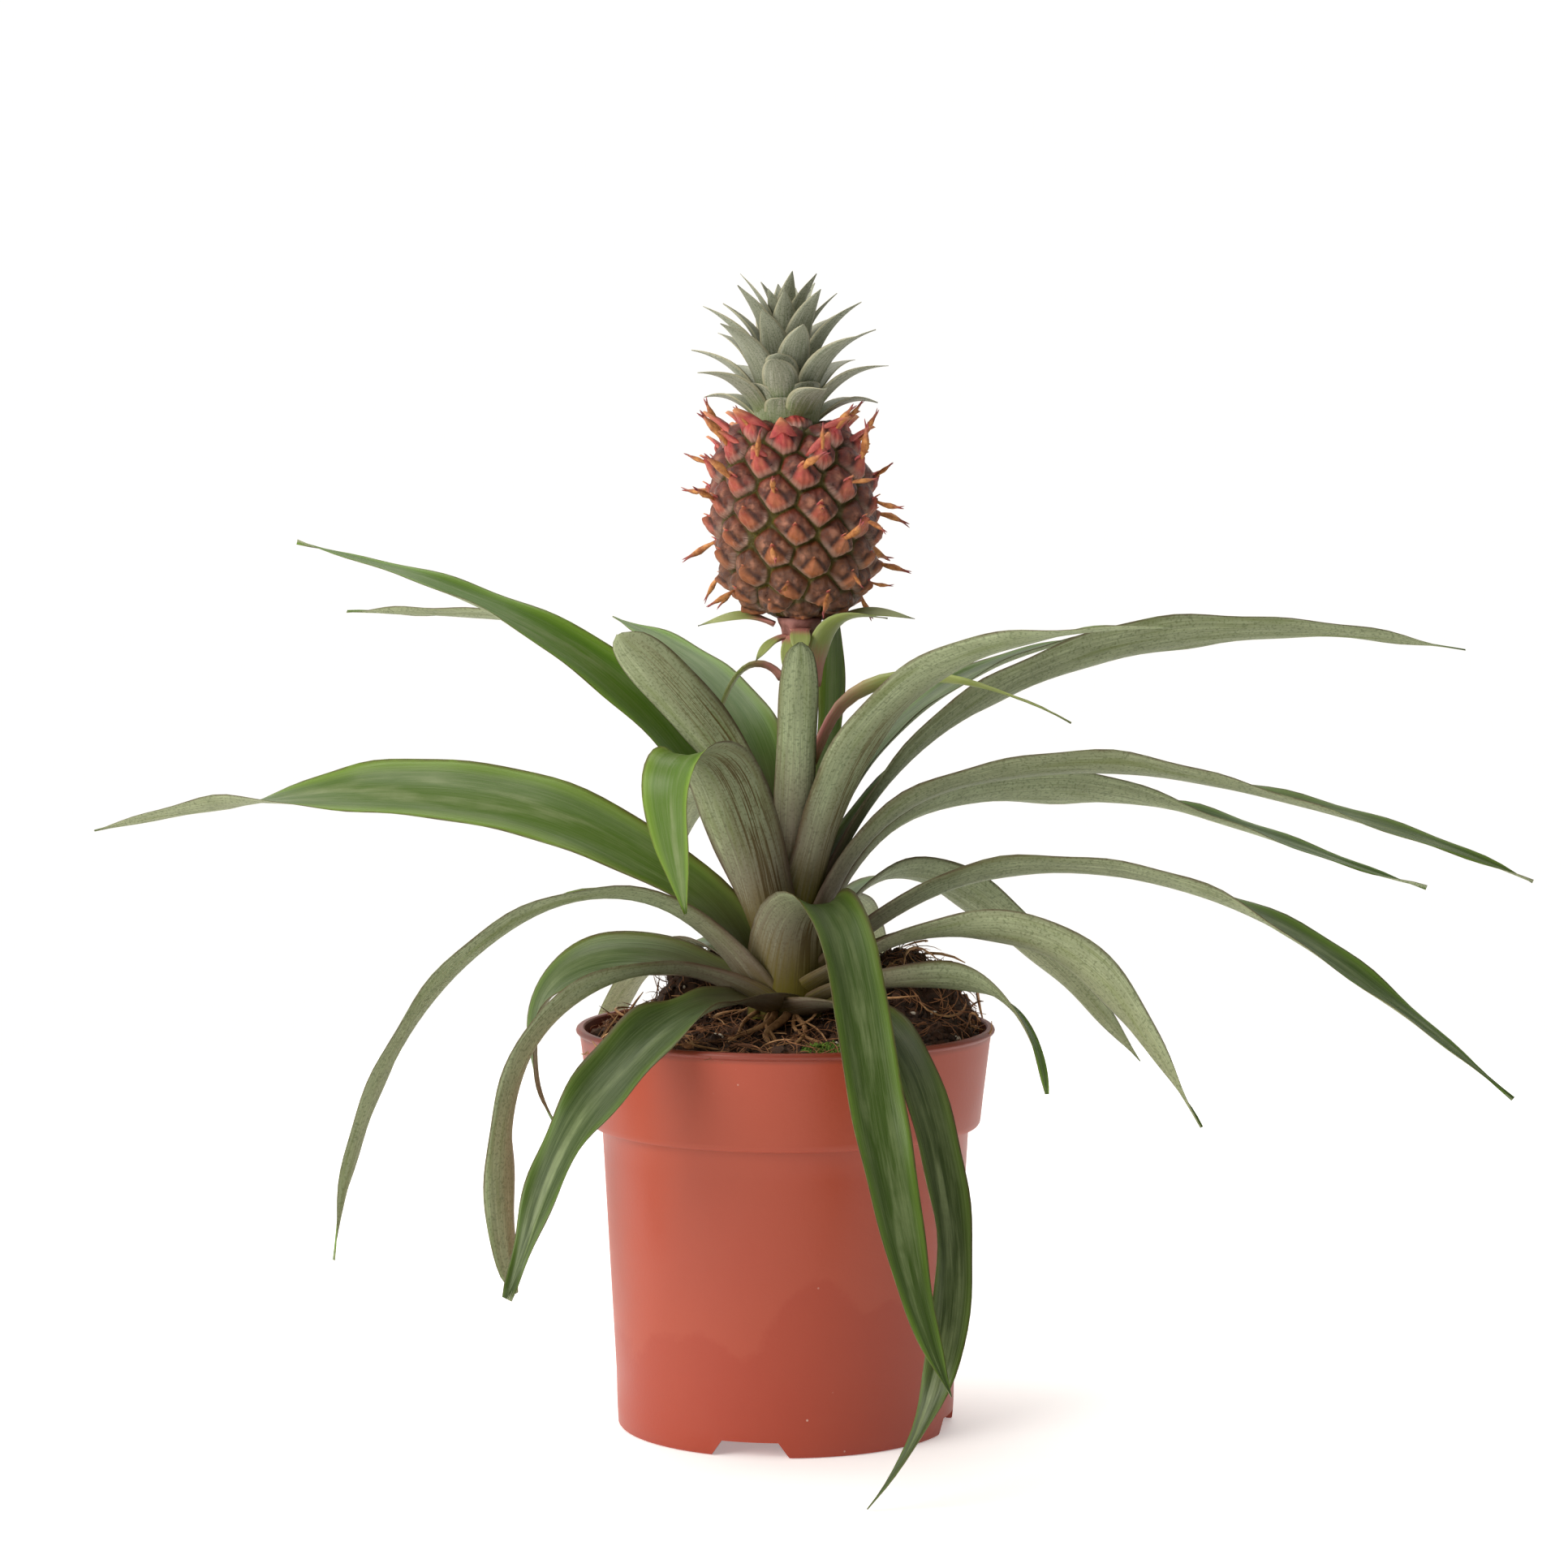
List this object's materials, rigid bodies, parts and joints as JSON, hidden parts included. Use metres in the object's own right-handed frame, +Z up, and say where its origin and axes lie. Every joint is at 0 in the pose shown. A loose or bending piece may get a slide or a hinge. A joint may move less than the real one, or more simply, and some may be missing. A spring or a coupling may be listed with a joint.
{
  "type": "potted pineapple plant",
  "caption": "Ornamental pineapple plant in a round terracotta-coloured nursery pot, with arching rosette leaves and a small fruit carrying a leafy crown.",
  "frame": {"origin": "centre of the pot's standing plane", "axes": "+Z up along the pot's axis, +X along the plant's widest leaf spread, -Y the side the lowest leaves drape over the pot"},
  "size_m": [0.4194, 0.2342, 0.3286],
  "materials": {
    "pot": "satin moulded polypropylene, terracotta colour",
    "soil": "moist peat and coir potting soil with fibres",
    "stem": "living stem tissue, pink-grey, fibrous",
    "leaf": "waxy living leaf, green above, grey scurf below",
    "bract": "thin living bract, yellow-green to pink",
    "fruit": "waxy unripe pineapple skin, brown-purple eyes",
    "crown": "thin living crown leaf, grey-green"
  },
  "bodies": {
    "root": {"pot": "pot", "soil": "soil", "stem": "stem", "fruit": "fruit", "crown_stem": "crown", "leaf_l_top": "leaf", "leaf_l_top_back": "leaf", "leaf_l_back": "leaf", "leaf_l_blunt": "leaf", "leaf_l_long": "leaf", "leaf_l_arch": "leaf", "leaf_l_behind": "leaf", "leaf_l_hang": "leaf", "leaf_l_low": "leaf", "leaf_f_fold": "leaf", "leaf_f_upright": "leaf", "leaf_f_drape": "leaf", "leaf_f_low": "leaf", "leaf_r_small": "leaf", "leaf_r_broad": "leaf", "leaf_r_back": "leaf", "leaf_r_long_low": "leaf", "leaf_r_mid": "leaf", "leaf_r_mid_back": "leaf", "leaf_r_top": "leaf", "leaf_r_strip": "leaf", "leaf_r_pale": "leaf", "leaf_b_upright": "leaf", "leaf_b_round": "leaf", "leaf_b_right": "leaf", "leaf_b_mid": "leaf", "leaf_b_left": "leaf", "leaf_b_high": "leaf", "bract_stalk_left": "bract", "bract_stalk_thin": "bract", "bract_stalk_right": "bract", "bract_fruit_left": "bract", "bract_fruit_left_low": "bract", "bract_fruit_left_end": "bract", "bract_fruit_right": "bract", "bract_fruit_front": "bract", "crown_leaf_01": "crown", "crown_leaf_02": "crown", "crown_leaf_03": "crown", "crown_leaf_04": "crown", "crown_leaf_05": "crown", "crown_leaf_06": "crown", "crown_leaf_07": "crown", "crown_leaf_08": "crown", "crown_leaf_09": "crown", "crown_leaf_10": "crown", "crown_leaf_11": "crown", "crown_leaf_12": "crown", "crown_leaf_13": "crown", "crown_leaf_14": "crown", "crown_leaf_15": "crown", "crown_leaf_16": "crown", "crown_leaf_17": "crown", "crown_leaf_18": "crown", "crown_leaf_19": "crown"}
  },
  "joints": []
}
